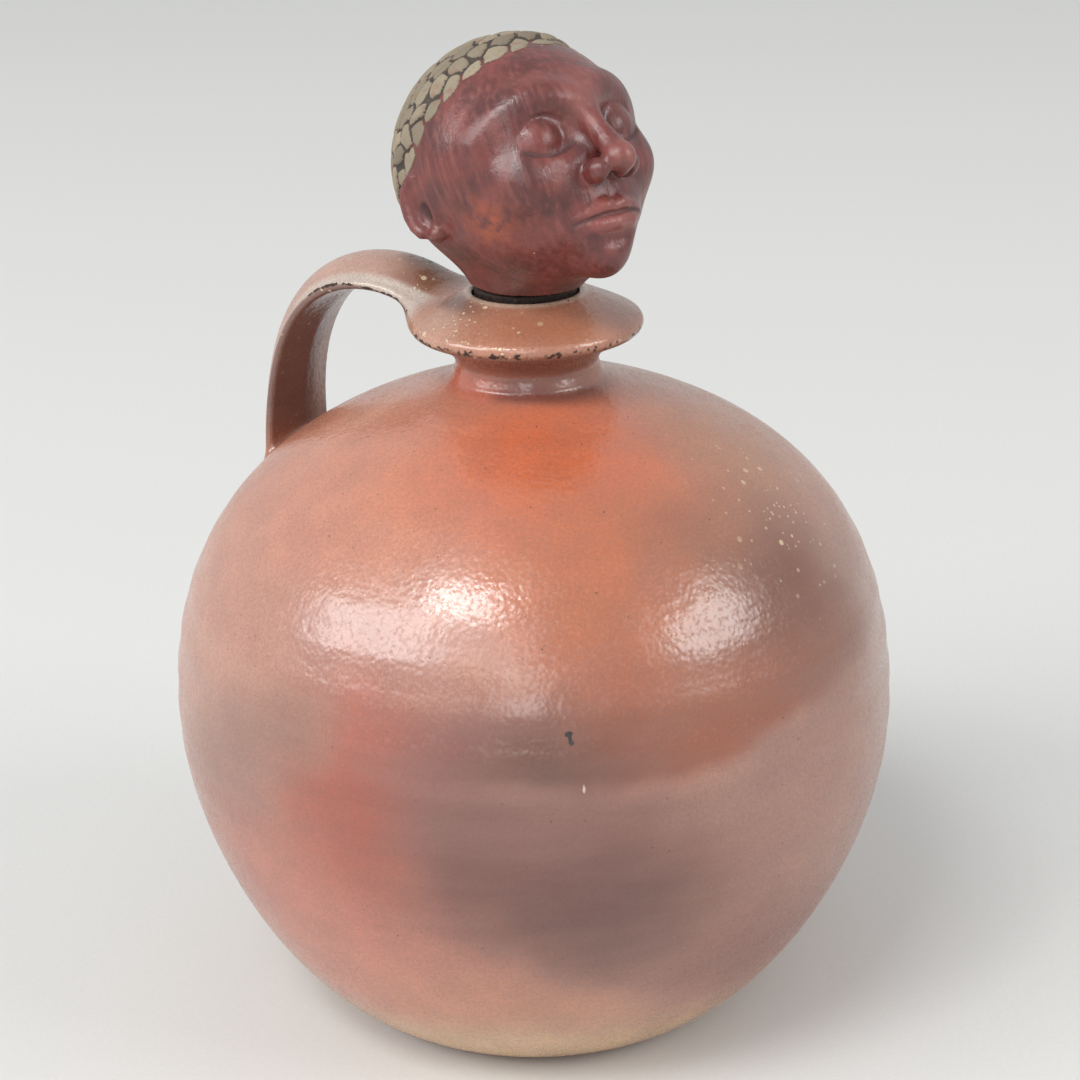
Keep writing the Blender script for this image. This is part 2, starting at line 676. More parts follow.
# Azimuth in degrees, height, half-width, half-height, colour and strength of each flash on the body
BODY_FLASHES = (
    (-118, 0.159, 0.055, 0.045, (0.560, 0.221, 0.135), 0.9),
    (-126, 0.120, 0.055, 0.045, (0.513, 0.271, 0.204), 0.8),
    (-107, 0.083, 0.034, 0.038, (0.266, 0.156, 0.124), 0.85),
    (-92, 0.056, 0.050, 0.034, (0.530, 0.188, 0.136), 0.9),
    (5, 0.166, 0.045, 0.028, (0.370, 0.184, 0.104), 0.85),
    (20, 0.096, 0.055, 0.055, (0.399, 0.230, 0.186), 0.8),
    (-13, 0.078, 0.048, 0.038, (0.380, 0.189, 0.140), 0.85),
    (-20, 0.040, 0.036, 0.022, (0.215, 0.066, 0.050), 0.8),
    (-46, 0.172, 0.040, 0.036, (0.570, 0.124, 0.044), 0.95),
    (-46, 0.150, 0.026, 0.032, (0.461, 0.126, 0.046), 0.9),
    (-43, 0.130, 0.018, 0.022, (0.399, 0.114, 0.048), 0.8),
    (-66, 0.122, 0.032, 0.010, (0.323, 0.152, 0.124), 0.7),
    (-7, 0.137, 0.034, 0.024, (0.148, 0.046, 0.019), 0.95),
    (-82, 0.100, 0.026, 0.034, (0.362, 0.066, 0.036), 0.95),
    (-66, 0.090, 0.016, 0.022, (0.170, 0.067, 0.056), 0.8),
    (-49, 0.074, 0.038, 0.026, (0.115, 0.036, 0.031), 0.95),
    (-56, 0.097, 0.036, 0.012, (0.185, 0.080, 0.068), 0.8),
    (-88, 0.137, 0.042, 0.013, (0.418, 0.207, 0.164), 0.7),
    (-84, 0.119, 0.020, 0.014, (0.40, 0.105, 0.070), 0.6),
    (-101, 0.114, 0.019, 0.014, (0.30, 0.150, 0.110), 0.75),
    (-70, 0.112, 0.018, 0.011, (0.22, 0.085, 0.072), 0.7),
    (-22, 0.101, 0.019, 0.011, (0.32, 0.165, 0.128), 0.6),
    (-45, 0.056, 0.019, 0.012, (0.16, 0.066, 0.056), 0.6),
    (-141, 0.171, 0.012, 0.010, (0.68, 0.350, 0.245), 0.8),
    (3, 0.173, 0.016, 0.012, (0.31, 0.145, 0.080), 0.45),
    (-23, 0.157, 0.015, 0.014, (0.20, 0.070, 0.030), 0.45),
    (13, 0.117, 0.016, 0.026, (0.47, 0.330, 0.280), 0.7),
    (-85, 0.034, 0.034, 0.020, (0.589, 0.221, 0.150), 0.8),
    (-62, 0.030, 0.036, 0.016, (0.600, 0.258, 0.148), 0.8),
    (-58, 0.008, 0.060, 0.018, (0.703, 0.460, 0.243), 0.95),
    (60, 0.060, 0.050, 0.032, (0.446, 0.175, 0.124), 0.9),
    (95, 0.130, 0.050, 0.036, (0.503, 0.202, 0.124), 0.9),
    (140, 0.085, 0.044, 0.028, (0.209, 0.101, 0.084), 0.9),
    (165, 0.155, 0.055, 0.032, (0.494, 0.156, 0.075), 0.9),
    (-160, 0.075, 0.040, 0.032, (0.399, 0.175, 0.133), 0.8),
    (70, 0.008, 0.065, 0.014, (0.570, 0.368, 0.212), 0.8),
    (180, 0.008, 0.065, 0.014, (0.570, 0.368, 0.212), 0.8),
)

# The same for the neck and flange
RIM_FLASHES = (
    (-60, 0.1800, 0.030, 0.004, (0.437, 0.120, 0.062), 0.8),
    (-75, 0.1838, 0.020, 0.004, (0.257, 0.097, 0.075), 0.8),
    (-25, 0.1838, 0.020, 0.005, (0.171, 0.061, 0.044), 0.9),
    (-111, 0.1838, 0.011, 0.006, (0.600, 0.160, 0.095), 0.95),
    (-57, 0.1838, 0.012, 0.004, (0.210, 0.045, 0.030), 0.8),
    (-55, 0.1905, 0.030, 0.004, (0.199, 0.057, 0.033), 0.9),
    (-110, 0.2010, 0.016, 0.012, (0.551, 0.313, 0.221), 0.8),
    (-45, 0.2020, 0.018, 0.008, (0.365, 0.130, 0.062), 0.8),
    (30, 0.2010, 0.020, 0.010, (0.257, 0.120, 0.080), 0.8),
    (180, 0.2010, 0.018, 0.012, (0.285, 0.143, 0.097), 0.8),
    (-112, 0.2045, 0.012, 0.004, (0.209, 0.087, 0.049), 0.8),
    (-140, 0.2042, 0.009, 0.004, (0.133, 0.055, 0.032), 0.9),
)

# Azimuth in degrees, height and colour along the line in which a dark band of glaze ends below
TIDE = (
    (-86, 0.1062, (0.418, 0.147, 0.106)),
    (-72, 0.1064, (0.209, 0.075, 0.058)),
    (-55, 0.1066, (0.058, 0.016, 0.008)),
    (-40, 0.1052, (0.205, 0.050, 0.022)),
    (-28, 0.1070, (0.285, 0.056, 0.014)),
    (-14, 0.1126, (0.266, 0.085, 0.046)),
    (4, 0.1172, (0.237, 0.097, 0.062)),
)
TIDE_STRENGTH = 0.84
TIDE_EDGE = (-0.0030, 0.0034)  # heights over the line between which the band comes in
TIDE_FADE = (0.034, 0.006)  # and those between which it goes out, higher up
TIDE_START = (-90, -60)  # azimuths between which it comes in at one end
TIDE_STOP = (18, 4)

# Azimuth and spread in degrees, height and spread of pale specks on the shoulder
SHOULDER_SPECKS = (4, 16, 0.152, 0.016)

# Azimuth in degrees, height, half-width, half-height and colour of small marks on the body
BODY_SCARS = (
    (-52.0, 0.1190, 0.00052, 0.0023, (0.020, 0.016, 0.016)),
    (-52.2, 0.1198, 0.00110, 0.0008, (0.024, 0.018, 0.017)),
    (-51.8, 0.1176, 0.00060, 0.0007, (0.030, 0.022, 0.020)),
    (-50.3, 0.1060, 0.00036, 0.0012, (0.52, 0.41, 0.34)),
)


def body_scars():
    """The marks, each with its centre on the body's surface."""
    outline = body_outline(BODY_COUNT)
    for degrees, height, half_width, half_height, shade in BODY_SCARS:
        reach = np.interp(height, outline[:, 1], outline[:, 0])
        turn = math.radians(degrees)
        yield (reach * math.sin(turn), -reach * math.cos(turn), height), half_width, half_height, shade


def body_colours(points):
    """The flashes, and the dark band over them."""
    flash = flashed(points, body_outline(BODY_COUNT), BODY_BASE, BODY_FLASHES)
    azimuth = azimuth_of(points)
    degrees, heights, shades = zip(*TIDE)
    above = points[:, 2] - np.interp(azimuth, degrees, heights)
    above += 0.0014 * noise(points, 0.012, 15) + 0.0010 * noise(points, 0.0045, 17)
    band = TIDE_STRENGTH * smooth(above, *TIDE_EDGE) * smooth(above, *TIDE_FADE)
    band *= smooth(azimuth, *TIDE_START) * smooth(azimuth, *TIDE_STOP)
    shade = np.column_stack([np.interp(azimuth, degrees, channel) for channel in zip(*shades)])
    return tinted(flash, (band, shade))


def rim_colours(points):
    """The neck's flashes, running out into those of the shoulder."""
    flash = flashed(points, rim_outline(RIM_COUNT), RIM_BASE, RIM_FLASHES)
    low = smooth(points[:, 2] - SEAM_HEIGHT, *NECK_BLEND)
    return tinted(flash, (low, body_colours(points)))


def make_body(finish):
    outline = body_outline(BODY_COUNT)
    inside = (outline - WALL * outward(outline))[::INSIDE_STRIDE]
    inside[:, 1] = np.maximum(inside[:, 1], FLOOR)
    top = [(OPENING_RADIUS, SEAM_HEIGHT), (OPENING_RADIUS, inside[-1, 1])]
    outline = np.vstack((outline, [(SEAM_RADIUS - TUCK, SEAM_HEIGHT + TUCK * math.tan(SHOULDER_SLOPE))]))
    profile = np.vstack(([(0.0, 0.0)], outline, top, inside[::-1], [(0.0, FLOOR)]))
    points, faces = turned(profile, TURN_STEPS, closed=False)
    outer = points[TURN_STEPS : TURN_STEPS * (1 + len(outline))]
    arc = np.repeat(arc_length(outline), TURN_STEPS)
    turn = np.tile(np.arange(TURN_STEPS) / TURN_STEPS, len(outline))
    height = outer[:, 2]
    ends = smooth(height, *MARKS_OVER_FOOT) * smooth(SEAM_HEIGHT - height, *MARKS_UNDER_SEAM)
    fingers = bell(height - FINGER_HEIGHT, FINGER_SPREAD)
    lift = FINGER_RISE * fingers * np.sin(math.tau * (arc / FINGER_PITCH + turn))
    lift += RIB_RISE * np.sin(math.tau * (arc / RIB_PITCH - turn))
    lift += SAG * noise(outer, SAG_SIZE, 5)
    swell(outer, lift * ends)
    degrees, turn_spread, level, level_spread = SHOULDER_SPECKS
    pale = bell(azimuth_of(points) - degrees, turn_spread) * bell(points[:, 2] - level, level_spread)
    marks = {"flash": body_colours(points), "pale": pale, "crust": np.zeros(len(points))}
    add_piece("glazed_body", points, faces, finish, "jug", "salt_glaze", ["jug_body"], **marks)


def make_rim(finish):
    bore_top = (BORE_RADIUS, LIP_HEIGHT - BORE_ROUND)
    bore_bottom = (BORE_RADIUS - (LIP_HEIGHT - NECK_BASE) * math.tan(BORE_TAPER), NECK_BASE)
    lip = [(LIP_RADIUS - LIP_INSET, LIP_HEIGHT), (BORE_RADIUS + BORE_INSET, LIP_HEIGHT - BORE_FALL)]
    profile = np.vstack((rim_outline(RIM_COUNT), lip, np.linspace(bore_top, bore_bottom, BORE_COUNT)))
    points, faces = turned(profile, TURN_STEPS, closed=True)
    radius = reach_of(points)
    near_edge = smooth(radius, RIM_RADIUS - WORN_EDGE, RIM_RADIUS)
    swell(points, CHIP_DEPTH * near_edge * np.minimum(noise(points, CHIP_SIZE, 21) + 0.15, 0.0))
    rise = points[:, 2] - SEAM_HEIGHT
    azimuth = azimuth_of(points)
    lip_line = smooth(points[:, 2], LIP_HEIGHT - 0.0010, LIP_HEIGHT - 0.0002)
    low_side = near_edge * smooth(RIM_EDGE_RISE - rise, -0.0016, 0.0002)
    crust = 0.49 * low_side * smooth(rise, 0.0164, 0.0174)
    pale = smooth(rise, 0.0180, 0.0200) * (0.25 + 0.75 * bell(azimuth + 105, 45))
    pale = np.maximum(pale, 0.9 * low_side * smooth(rise, 0.0150, 0.0164) * bell(azimuth + 55, 60))
    under_lip = smooth(rise, 0.0180, 0.0168) * smooth(radius, 0.021, 0.024) * (rise > 0.0100)
    flash = tinted(
        rim_colours(points),
        (0.70 * lip_line, (0.60, 0.47, 0.36)),
        (0.85 * under_lip, (0.20, 0.066, 0.038)),
        (0.80 * near_edge * bell(rise - 0.0174, 0.0006), (0.085, 0.048, 0.035)),
    )
    marks = {"flash": flash, "pale": pale, "crust": crust}
    add_piece("glazed_rim", points, faces, finish, "jug", "rim_glaze", ["neck_rim"], **marks)


def line_distance(points, line):
    """Signed distance from (reach, height) points to a line that runs upwards, positive outside it."""
    best = np.full(len(points), np.inf)
    sign = np.ones(len(points))
    for start, end in zip(line, line[1:]):
        axis = end - start
        gap = points - start
        share = np.clip(gap @ axis / (axis @ axis), 0.0, 1.0)
        away = np.hypot(*(gap - share[:, None] * axis).T)
        nearer = away < best
        best[nearer] = away[nearer]
        sign[nearer] = np.sign(gap[nearer, 0] * axis[1] - gap[nearer, 1] * axis[0])
    return best * sign


def strap_place(flat):
    """Share along the strap, lift from its middle line and reach past its ends, at (y, z) points."""
    line = bezier(ROOT, ROOT_PULL, HEEL_PULL, HEEL, STRAP_COUNT)
    along = np.gradient(line, axis=0)
    along /= np.hypot(*along.T)[:, None]
    nearest = ((flat[:, None] - line) ** 2).sum(axis=2).argmin(axis=1)
    gap = flat - line[nearest]
    tangent = along[nearest]
    lift = gap[:, 1] * tangent[:, 0] - gap[:, 0] * tangent[:, 1]
    slide = (gap * tangent).sum(axis=1)
    before = np.where(nearest == 0, np.maximum(-slide, 0.0), 0.0)
    after = np.where(nearest == STRAP_COUNT - 1, np.maximum(slide, 0.0), 0.0)
    return nearest / (STRAP_COUNT - 1), lift, before + after


def strap_field(share, side, lift, past):
    """Signed distance to the strap: crowned on top, ridged along its inner face, with thin round edges."""
    near_root = bell(share, FLARE_LENGTH)
    near_heel = bell(1.0 - share, FLARE_LENGTH)
    half_width = STRAP_WIDTH / 2 + ROOT_FLARE * near_root + HEEL_FLARE * near_heel
    across = np.minimum(np.abs(side) / (half_width - STRAP_ROUND), 1.0)
    body = STRAP_EDGE / 2 - STRAP_ROUND
    top = STRAP_ROUND + (body + STRAP_CROWN * (1.0 - near_root)) * (1.0 - across**2)
    bottom = -STRAP_ROUND - STRAP_RIDGE * (1.0 - across**1.2)
    over = np.abs(side) - (half_width - STRAP_ROUND)
    above = np.abs(lift - (top + bottom) / 2) - ((top - bottom) / 2 - STRAP_ROUND)
    outside = np.sqrt(np.maximum(over, 0.0) ** 2 + np.maximum(above, 0.0) ** 2 + past**2)
    return outside + np.minimum(np.maximum(over, above), 0.0) - STRAP_ROUND


def handle_field(points, sheet):
    """Signed distance to the strap and the clay smoothed from it. A sheet of points is of one x."""
    sheets = len(points) // sheet
    share, lift, past = (np.tile(values, sheets) for values in strap_place(points[:sheet, 1:]))
    strap = strap_field(share, points[:, 0], lift, past)
    reach = np.column_stack((reach_of(points), points[:, 2]))
    near = strap < 1.2 * ROOT_SMEAR
    rim = np.full(len(points), 1.0)
    rim[near] = line_distance(reach[near], rim_outline(JOINED_RIM)) + SMEAR_SINK
    rim[points[:, 2] < NECK_BASE] = 1.0
    shoulder = np.full(len(points), 1.0)
    shoulder[near] = line_distance(reach[near], body_outline(JOINED_BODY)) + SMEAR_SINK
    field = np.minimum(join(strap, rim, ROOT_SMEAR), join(strap, shoulder, HEEL_SMEAR))
    field = np.maximum(field, strap - ROOT_SMEAR)
    field = np.maximum(field, -(np.minimum(rim, shoulder) + STRAP_BITE))
    return np.maximum(field, LIP_RADIUS + STRAP_EDGE / 2 - reach[:, 0])


# Place and reach of darker glaze on the strap, behind the head
ROOT_DARK = (mm(5.0, 35.5, 206.0), 0.0080)
ROOT_BROWN = (mm(-3.5, 32.0, 204.5), 0.0095)


def make_handle(finish):
    """The strap, with its clay smoothed onto the flange and the shoulder."""
    shape, points = grid_points(STRAP_LOW, STRAP_HIGH, STRAP_GRID)
    field = handle_field(points, shape[1] * shape[2])
    points, faces = skin_of(field.reshape(shape), STRAP_LOW, STRAP_GRID)
    share, lift, _ = strap_place(points[:, 1:])
    turn_line = -0.0004 + 0.0012 * smooth(share, 0.30, 0.50)
    inner = smooth(lift - turn_line, 0.0005, -0.0005)
    within = inner * smooth(share, 0.06, 0.16) * smooth(share, 0.99, 0.86)
    edge = smooth(np.abs(points[:, 0]), 0.0085, 0.0105)
    edge *= smooth(share, 0.04, 0.12) * smooth(share, 0.75, 0.50)
    on_rim = smooth(reach_of(points), RIM_RADIUS + 0.010, RIM_RADIUS - 0.004)
    uneven = points[:, 2] + 0.004 * noise(points, 0.010, 52)
    on_body = smooth(uneven, SEAM_HEIGHT + 0.008, SEAM_HEIGHT - 0.020)
    stray = points + 0.0025 * noise(points, 0.006, 51)[:, None]
    dark_patch = np.exp(-((length(stray - ROOT_DARK[0]) / ROOT_DARK[1]) ** 4)) * (lift > 0)
    brown_patch = np.exp(-((length(stray - ROOT_BROWN[0]) / ROOT_BROWN[1]) ** 3)) * (lift > 0)
    flash = tinted(
        np.tile(np.array(HANDLE_BASE), (len(points), 1)),
        (on_rim, rim_colours(points)),
        (on_body, body_colours(points)),
        (0.9 * brown_patch, (0.20, 0.076, 0.040)),
        (0.95 * dark_patch, (0.036, 0.021, 0.017)),
        (0.85 * edge, (0.59, 0.52, 0.45)),
        (within, (0.152, 0.077, 0.060)),
        (0.8 * within * smooth(points[:, 0], 0.002, 0.009), (0.46, 0.33, 0.275)),
    )
    crust = np.maximum(0.62 * bell(lift - turn_line, 0.0008) * edge, 0.56 * dark_patch)
    pale = np.maximum(0.25 + 0.5 * edge, brown_patch)
    marks = {"flash": flash, "pale": pale, "crust": crust}
    add_piece("glazed_handle", points, faces, finish, "jug", "handle_glaze", ["handle"], **marks)


# Stopper


def make_cork(finish):
    taper = math.tan(BORE_TAPER)
    top = BORE_RADIUS + (CORK_TOP - LIP_HEIGHT) * taper - CORK_FIT
    bottom = BORE_RADIUS + (CORK_BOTTOM - LIP_HEIGHT) * taper - CORK_FIT
    side = np.linspace((bottom, CORK_BOTTOM + CORK_BEVEL), (top, CORK_TOP - CORK_BEVEL), CORK_COUNT)
    outside = np.vstack(([(bottom - CORK_BEVEL, CORK_BOTTOM)], side, [(top - CORK_BEVEL, CORK_TOP)]))
    profile = np.vstack((outside, [(CORK_HOLE, CORK_TOP), (CORK_HOLE, CORK_BOTTOM)]))
    points, faces = turned(profile, CORK_STEPS, closed=True)
    dents = np.minimum(noise(points, CORK_DENT_SIZE, 31), 0.0)
    swell(points, CORK_DENT * dents * (reach_of(points) > CORK_HOLE + CORK_BEVEL))
    add_piece("cork_ring", points, faces, finish, "cork", "cork", ["cork_sleeve"])


def make_stem(finish):
    heights = np.linspace(STEM_BOTTOM + STEM_BEVEL, STEM_TOP - STEM_BEVEL, STEM_COUNT)
    side = np.column_stack((np.full(STEM_COUNT, STEM_RADIUS), heights))
    ends = ((STEM_RADIUS - STEM_BEVEL, STEM_BOTTOM), (STEM_RADIUS - STEM_BEVEL, STEM_TOP))
    bore = ((VENT_RADIUS, STEM_TOP), (VENT_RADIUS, STEM_BOTTOM))
    points, faces = turned(np.vstack((ends[:1], side, ends[1:], bore)), STEM_STEPS, closed=True)
    add_piece("clay_stem", points, faces, finish, "stopper", "stem_clay", ["stopper_stem"])


# Places and reach of warm colour on the cheeks, and of rubbed slip on the nose, brow and lip
WARM_SPOTS = ((mm(-24.5, -11.5, -14.5), 0.0062), (mm(24.5, -12.5, -11.5), 0.0050))
RUBBED_SPOTS = ((mm(0, -41.6, -9.0), 0.0035), (mm(0, -31.0, 9.0), 0.0060), (mm(0, -31.4, -24.0), 0.0030))


def ear_field(half):
    """The ear by itself, and its hollow."""
    middle = mm(30.0, 6.2, -4.8)
    out = np.array((0.934, -0.358, 0.0), np.float32)
    back = np.array((0.358, 0.934, 0.0), np.float32)
    own_axes = np.stack((back, np.array((0.0, 0.0, 1.0), np.float32), out), axis=1)
    own = (half - middle) @ own_axes
    ear = oval(own, mm(0.6, 0.0, 0.0), mm(5.0, 8.4, 1.7))
    turns = np.radians(np.linspace(-60, 215, 12))
    helix = [(0.6 + 4.6 * math.cos(turn), 0.4 + 7.6 * math.sin(turn), 1.1, 1.25) for turn in turns]
    ear = join(ear, roll(own, mm(*helix)), 0.0010)
    turns = np.radians(np.linspace(-75, 80, 7))
    fold = [(0.2 + 2.3 * math.cos(turn), 4.6 * math.sin(turn), 0.9, 0.95) for turn in turns]
    ear = join(ear, roll(own, mm(*fold)), 0.0010)
    ear = join(ear, ball(own, mm(-1.6, -7.6, 0.5), 0.0023), 0.0014)
    ear = join(ear, ball(own, mm(-3.6, -1.8, 1.2), 0.0014), 0.0012)
    hollow = oval(own, mm(-0.8, -1.6, 1.9), mm(2.1, 3.2, 1.6))
    return carve(ear, hollow, 0.0008), hollow


def skull_field(half, upright):
    """Skull, jaw and the round stub that the head stands on."""
    skull = oval(half, mm(0, 1.0, 1.5), mm(31.5, 32.3, 31.3))
    jaw = oval(half, mm(0, -7.0, -13.0), mm(23.5, 21.5, 20.5))
    stub = rod(upright, mm(0, 0, -40), mm(0, 0, -18), STUB_RADIUS, STUB_RADIUS)
    return join(join(skull, jaw, 0.008), stub, STUB_SOFT)


def add_planes(head, half):
    """Cheeks, brow, eye sockets, muzzle and chin."""
    head = join(head, ball(half, mm(17.5, -19.6, -8.0), 0.0062), 0.007)
    inner_brow = ((1.0, -28.4, 8.6, 2.2), (10, -28.2, 14.4, 2.7))
    outer_brow = ((19, -22.0, 12.8, 2.4), (24.5, -14.6, 4.5, 1.2))
    brow = bezier(*inner_brow, *outer_brow, 14)
    head = join(head, roll(half, mm(*brow)), 0.0065)
    head = carve(head, oval(half, mm(12.4, -31.4, 1.6), mm(8.6, 5.2, 5.6)), 0.004)
    head = join(head, oval(half, mm(0, -22.5, -20.8), mm(11.5, 7.2, 8.5)), 0.005)
    return join(head, ball(half, mm(0, -20.3, -29.6), 0.0062), 0.007)


def add_eye(head, half):
    """A closed upper lid over the eyeball, and the lower lid."""
    head = join(head, ball(half, mm(12.2, -21.7, 1.2), 0.0070), 0.0012)
    lower = mm((7.2, -24.4, -3.0, 1.2), (12.2, -26.4, -4.5, 1.6), (17.4, -23.9, -3.0, 1.2))
    return join(head, roll(half, lower), 0.0020)


def add_nose(head, half):
    """Bridge, tip, wings and the middle wall, and the nostril by itself."""
    bridge = mm((0, -29.2, 8.0, 2.3), (0, -33.6, -1.0, 2.7), (0, -37.4, -8.4, 3.7))
    head = join(head, roll(half, bridge), 0.0035)
    head = join(head, ball(half, mm(0, -37.9, -9.0), 0.0040), 0.0015)
    head = join(head, oval(half, mm(4.9, -33.5, -10.4), mm(3.0, 4.1, 3.3)), 0.0016)
    head = join(head, ball(half, mm(0, -36.2, -11.6), 0.0020), 0.0014)
    nostril = oval(half, mm(2.7, -35.3, -13.0), mm(1.5, 2.3, 1.6))
    return carve(head, nostril, 0.0006), nostril


def add_lips(head, half):
    """Both lips, the groove over them and the hollow under them, and the lips by themselves."""
    middle = ((0, -29.6, -19.7, 1.8), (2.5, -29.9, -19.1, 2.0))
    upper = mm(*middle, (6.7, -28.1, -19.9, 1.6), (10.8, -24.9, -21.3, 0.8))
    lower = mm((0, -29.1, -23.5, 2.4), (5.0, -28.0, -23.3, 2.1), (10.4, -24.8, -21.9, 0.8))
    lips = np.minimum(roll(half, upper), roll(half, lower))
    head = carve(head, rod(half, mm(0, -32.4, -14.6), mm(0, -31.6, -17.4), 0.0010, 0.0012), 0.0012)
    head = join(head, lips, 0.0014)
    return carve(head, oval(half, mm(0, -29.8, -27.8), mm(6.0, 2.2, 1.7)), 0.0025), lips


def mirrored(points):
    """Points of the head, with those of its right half moved over to the left."""
    half = points.astype(np.float32)
    half[:, 0] = np.abs(half[:, 0])
    return half


def head_form(points):
    """Signed distance to the head without its creases, to its lips and to its hollows, in its own frame."""
    half = mirrored(points)
    upright = points.astype(np.float32) @ HEAD_TILT.T
    head = add_planes(skull_field(half, upright), half)
    head, nostril = add_nose(add_eye(head, half), half)
    head, lips = add_lips(head, half)
    ear, ear_hollow = ear_field(half)
    head = join(head, ear, 0.0022)
    head = np.maximum(head, -(upright[:, 2] + HEAD_RISE))
    return head, lips, np.minimum(nostril, ear_hollow + 0.0004)


def crease(spots, radius):
    """Beads along the front of the face, through (x, z) places in millimetres."""
    depth = np.linspace(*FACE_DEPTHS, FACE_STEPS)
    beads = []
    for across, height in spots:
        column = np.column_stack(np.broadcast_arrays(across / 1000, depth, height / 1000))
        first = np.argmax(head_form(column)[0] < 0.0)
        beads.append((across, depth[first] * 1000, height, radius))
    return mm(*beads)


def arch(middle, half_width, end, rise):
    """Places along an arch, from one end to the other."""
    shares = np.linspace(-1.0, 1.0, 9)
    return [(middle + half_width * share, end + rise * (1.0 - share * share)) for share in shares]


LASH_LINE = crease(arch(12.3, 6.8, -1.2, -2.3), 0.42)
LID_FOLD = crease(arch(12.5, 6.0, 4.2, 2.6), 0.20)
MOUTH_LINE = crease([(0, -21.45), (2.5, -21.2), (5.5, -21.25), (8.5, -21.5), (11.2, -21.75)], 0.42)


def head_fields(points):
    """Signed distance to the head, to its lips and to its creases and hollows, in the head's frame."""
    head, lips, hollows = head_form(points)
    half = mirrored(points)
    lines = np.minimum(roll(half, LASH_LINE), roll(half, MOUTH_LINE))
    head = carve(carve(head, lines, 0.0006), roll(half, LID_FOLD), 0.0010)
    return head, lips, np.minimum(lines, hollows)


def to_part(points):
    """Points of the head's own frame in the part's frame."""
    return points @ HEAD_TILT.T.astype(float) + np.array(HEAD_CENTRE)


def spotted(points, spots):
    """Soft marks about places, each with its reach."""
    return sum(bell(length(points - place), reach) for place, reach in spots)


def make_head(finish):
    shape, points = grid_points(HEAD_LOW, HEAD_HIGH, HEAD_GRID)
    field = head_fields(points)[0] + HEAD_UNEVEN * noise(points, HEAD_UNEVEN_SIZE, 41)
    points, faces = skin_of(field.reshape(shape), HEAD_LOW, HEAD_GRID)
    _, lips, creases = head_fields(points)
    marks = {
        "lip": smooth(lips, 0.0008, -0.0002) * smooth(points[:, 1], -0.0200, -0.0225),
        "crease": 0.8 * smooth(creases, 0.0005, -0.0002),
        "warm": spotted(points, WARM_SPOTS),
        "rub": 0.55 * spotted(points, RUBBED_SPOTS),
    }
    nodes = ["stopper_head", "nose", "upper_lip", "lower_lip"]
    nodes += ["eyelid_left", "eyelid_right", "ear_left", "ear_right"]
    add_piece("clay_head", to_part(points), faces, finish, "stopper", "skin_slip", nodes, **marks)


def on_skull(direction):
    """Points of the head's surface along unit directions from its centre."""
    reach = np.full(len(direction), SKULL_RADIUS)
    for _ in range(SKULL_ROUNDS):
        reach -= head_fields(direction * reach[:, None])[0]
    return direction * reach[:, None]


def hair_directions(swing, turn):
    """Unit directions at a swing from the hair's pole and a turn round it, with their two tangents."""
    pole = np.array((0.0, math.cos(HAIR_ELEVATION), math.sin(HAIR_ELEVATION)))
    side = np.array((-1.0, 0.0, 0.0))
    up = np.cross(pole, side)
    heading = np.cos(turn)[:, None] * side + np.sin(turn)[:, None] * up
    direction = np.cos(swing)[:, None] * pole + np.sin(swing)[:, None] * heading
    outward_way = np.cos(swing)[:, None] * heading - np.sin(swing)[:, None] * pole
    return direction, outward_way, np.cross(direction, outward_way)


def scale_places(rng):
    """Swing and turn of each scale, in rows round the pole that are staggered and a little uneven."""
    places = []
    for row in range(round((HAIR_REACH - SCALE_WIDTH / 2) / SCALE_ROW) + 1):
        distance = row * SCALE_ROW
        around = max(1, round(math.tau * SKULL_RADIUS * math.sin(distance / SKULL_RADIUS) / SCALE_PITCH))
        start = rng.uniform(0.0, math.tau)
        for number in range(around):
            stray = rng.normal(0.0, SCALE_JITTER, 2)
            turn = start + math.tau * number / around + stray[0] / max(distance, SCALE_ROW)
            places.append(((distance + stray[1] * SCALE_STRAY) / SKULL_RADIUS, turn))
    return np.array(places).T


def scale_distances(points, rng):
    """Distances to the nearest scale's middle and the next one's, as shares of their size, and a tint."""
    swing, turn = scale_places(rng)
    direction, outward_way, side_way = hair_directions(swing, turn)
    centres = on_skull(direction)
    lean = rng.normal(0.0, SCALE_LEAN, (len(centres), 1))
    long_way = np.cos(lean) * side_way + np.sin(lean) * outward_way
    short_way = np.cos(lean) * outward_way - np.sin(lean) * side_way
    sizes = rng.uniform(*SCALE_SIZES, len(centres))
    tints = rng.uniform(0.0, 1.0, len(centres))
    results = []
    for block in np.array_split(points, SCALE_BLOCKS):
        beside = (block @ long_way.T - (centres * long_way).sum(1)) / (SCALE_LENGTH / 2 * sizes)
        ahead = (block @ short_way.T - (centres * short_way).sum(1)) / (SCALE_WIDTH / 2 * sizes)
        off = (block @ direction.T - (centres * direction).sum(1)) / SCALE_LENGTH
        ahead /= 1.0 - SCALE_POINT * np.minimum(beside**2, 1.0)
        distance = np.sqrt(ahead**2 + beside**2 + off**2)
        nearest = np.partition(distance, 1, axis=1)
        results.append((nearest[:, 0], nearest[:, 1], tints[distance.argmin(axis=1)]))
    return (np.concatenate(values) for values in zip(*results))


